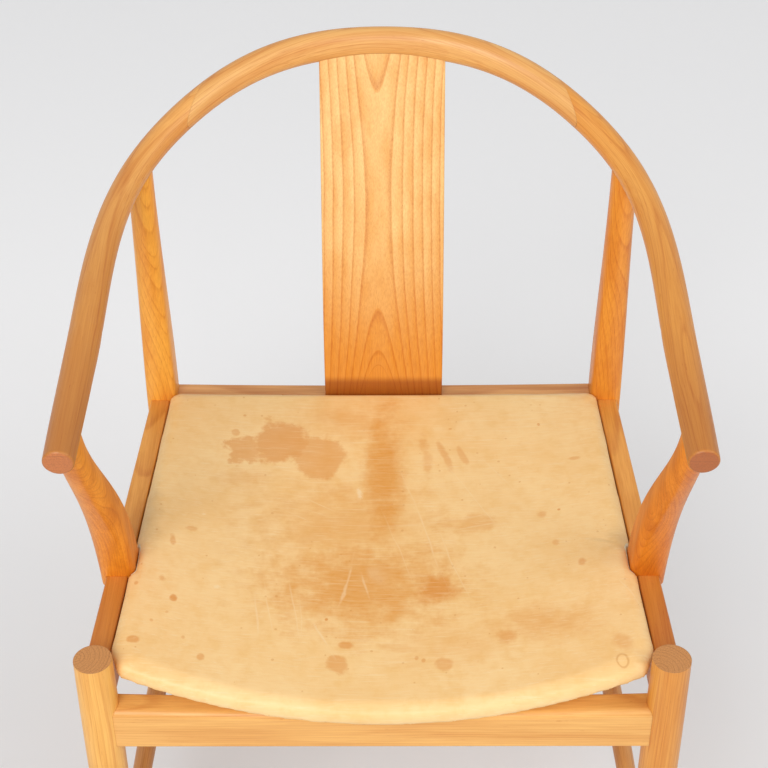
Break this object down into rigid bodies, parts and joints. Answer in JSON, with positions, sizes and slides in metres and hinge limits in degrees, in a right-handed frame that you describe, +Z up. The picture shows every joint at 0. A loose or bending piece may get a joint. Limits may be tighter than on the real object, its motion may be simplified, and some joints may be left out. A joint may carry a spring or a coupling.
{
  "type": "horseshoe back armchair",
  "caption": "Wooden armchair with a horseshoe top rail, curved arm posts, broad back splat and a dished leather seat that lifts out.",
  "frame": {"origin": "middle of the chair's footprint box, on the floor", "axes": "+X to the sitter's left, +Y to the back, +Z up; the sitter faces -Y"},
  "size_m": [0.551, 0.5596, 0.821],
  "materials": {
    "cherry": "satin oiled cherry wood",
    "seat_ply": "bare bent plywood",
    "seat_foam": "thin upholstery foam",
    "seat_hide": "natural undyed leather, worn smooth"
  },
  "bodies": {
    "frame": {"crest_rail": "cherry", "arm_bow_left": "cherry", "arm_bow_right": "cherry", "rear_leg_left": "cherry", "rear_leg_right": "cherry", "front_leg_left": "cherry", "front_leg_right": "cherry", "arm_post_left": "cherry", "arm_post_right": "cherry", "side_rail_left": "cherry", "side_rail_right": "cherry", "seat_rail_front": "cherry", "seat_rail_back": "cherry", "back_splat": "cherry", "side_stretcher_left": "cherry", "side_stretcher_right": "cherry", "cross_stretcher": "cherry", "seat_cleat_left": "cherry", "seat_cleat_right": "cherry", "seat_cleat_back": "cherry"},
    "seat": {"seat_board": "seat_ply", "seat_foam": "seat_foam", "seat_leather": "seat_hide"}
  },
  "joints": [
    {"name": "seat_lift", "type": "slide", "parent": "frame", "child": "seat", "axis": [0, -0.1961, 0.9806], "range_m": [0, 0.035]}
  ]
}
